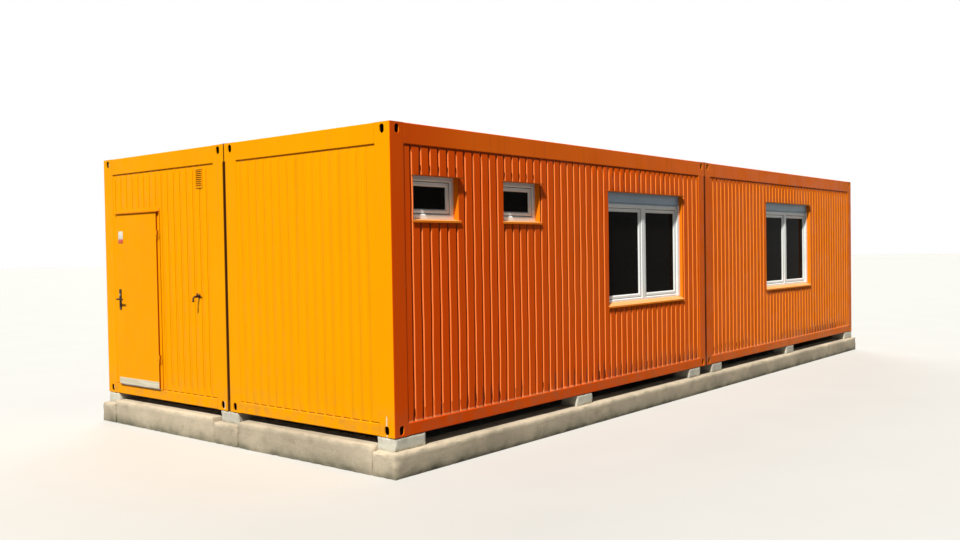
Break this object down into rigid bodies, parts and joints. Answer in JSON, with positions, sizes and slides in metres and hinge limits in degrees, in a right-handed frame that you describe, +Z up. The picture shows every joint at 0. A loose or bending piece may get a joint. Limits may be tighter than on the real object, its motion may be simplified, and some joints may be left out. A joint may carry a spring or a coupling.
{
  "type": "modular cabin of steel container modules",
  "caption": "Flat-roofed site cabin of joined steel container modules on concrete strips, with ribbed walls, windows with shutter boxes and an outward-opening end door.",
  "frame": {"origin": "centre of the plan on the underside of the foundation's middle strip", "axes": "+Z up, +X along the long sides away from the door end, -Y towards the side with the small windows"},
  "size_m": [12.264, 5, 3.144],
  "materials": {
    "concrete": "weathered cast concrete, grey-beige",
    "block_concrete": "pale concrete blocks",
    "frame_paint": "orange coating on rolled steel, satin",
    "cladding_paint": "orange coating on folded sheet, satin",
    "galvanised_sheet": "galvanised sheet, dull",
    "deck_board": "grey sheet flooring on board",
    "joint_strip": "mill finish",
    "ceiling_board": "white coated",
    "lining_board": "pale coated board",
    "seal_rubber": "black, matt",
    "white_pvc": "white window profile, satin",
    "glazing": "clear double glazing",
    "threshold_metal": "trodden, dull",
    "kick_metal": "brushed",
    "black_plastic": "black moulded",
    "hinge_paint": "orange coating, worn at the knuckles",
    "tap_brass": "dark weathered brass",
    "lever_paint": "dark red coating"
  },
  "bodies": {
    "cabin": {"long_foundation_strips": "concrete", "end_foundation_strips": "concrete", "bearing_blocks": "block_concrete", "low_corner_fittings": "frame_paint", "high_corner_fittings": "frame_paint", "corner_posts": "frame_paint", "long_floor_rails": "frame_paint", "end_floor_rails": "frame_paint", "long_roof_rails": "frame_paint", "end_roof_rails": "frame_paint", "underfloor_trays": "galvanised_sheet", "floor_decks": "deck_board", "floor_joint_strips": "joint_strip", "ceiling_panels": "ceiling_board", "roof_sheets": "galvanised_sheet", "roof_joint_covers": "galvanised_sheet", "seam_seals": "seal_rubber", "front_wall_panels": "lining_board", "rear_wall_panels": "lining_board", "door_end_wall_panels": "lining_board", "far_end_wall_panels": "lining_board", "front_wall_cladding": "cladding_paint", "rear_wall_cladding": "cladding_paint", "door_end_cladding": "cladding_paint", "far_end_cladding": "cladding_paint", "window_surrounds": "frame_paint", "window_sills": "frame_paint", "small_window_frames": "white_pvc", "small_window_sashes": "white_pvc", "large_window_frames": "white_pvc", "large_window_sashes": "white_pvc", "shutter_boxes": "white_pvc", "shutter_guides": "white_pvc", "window_glass": "glazing", "door_frame": "frame_paint", "door_threshold": "threshold_metal", "frame_hinge_knuckles": "hinge_paint", "vent_grille": "frame_paint", "water_tap": "tap_brass"},
    "door": {"door_leaf": "frame_paint", "door_kick_plate": "kick_metal", "door_handle_plates": "black_plastic", "leaf_hinge_knuckles": "hinge_paint"},
    "door_lever": {"door_lever": "black_plastic"},
    "tap_lever": {"tap_lever": "lever_paint"}
  },
  "joints": [
    {"name": "door_hinge", "type": "hinge", "parent": "cabin", "child": "door", "pos_m": [-6.0728, 1.2675, 1.516], "axis": [0, 0, 1], "range_deg": [0, 110]},
    {"name": "door_lever_turn", "type": "hinge", "parent": "door", "child": "door_lever", "pos_m": [-6.06, 2.072, 1.48], "axis": [1, 0, 0], "range_deg": [0, 40], "stiffness_Nm_per_rad": 1.2, "springref_deg": -51.57},
    {"name": "tap_lever_turn", "type": "hinge", "parent": "cabin", "child": "tap_lever", "pos_m": [-6.082, 0.5, 1.57], "axis": [0, 0, -1], "range_deg": [0, 90]}
  ]
}
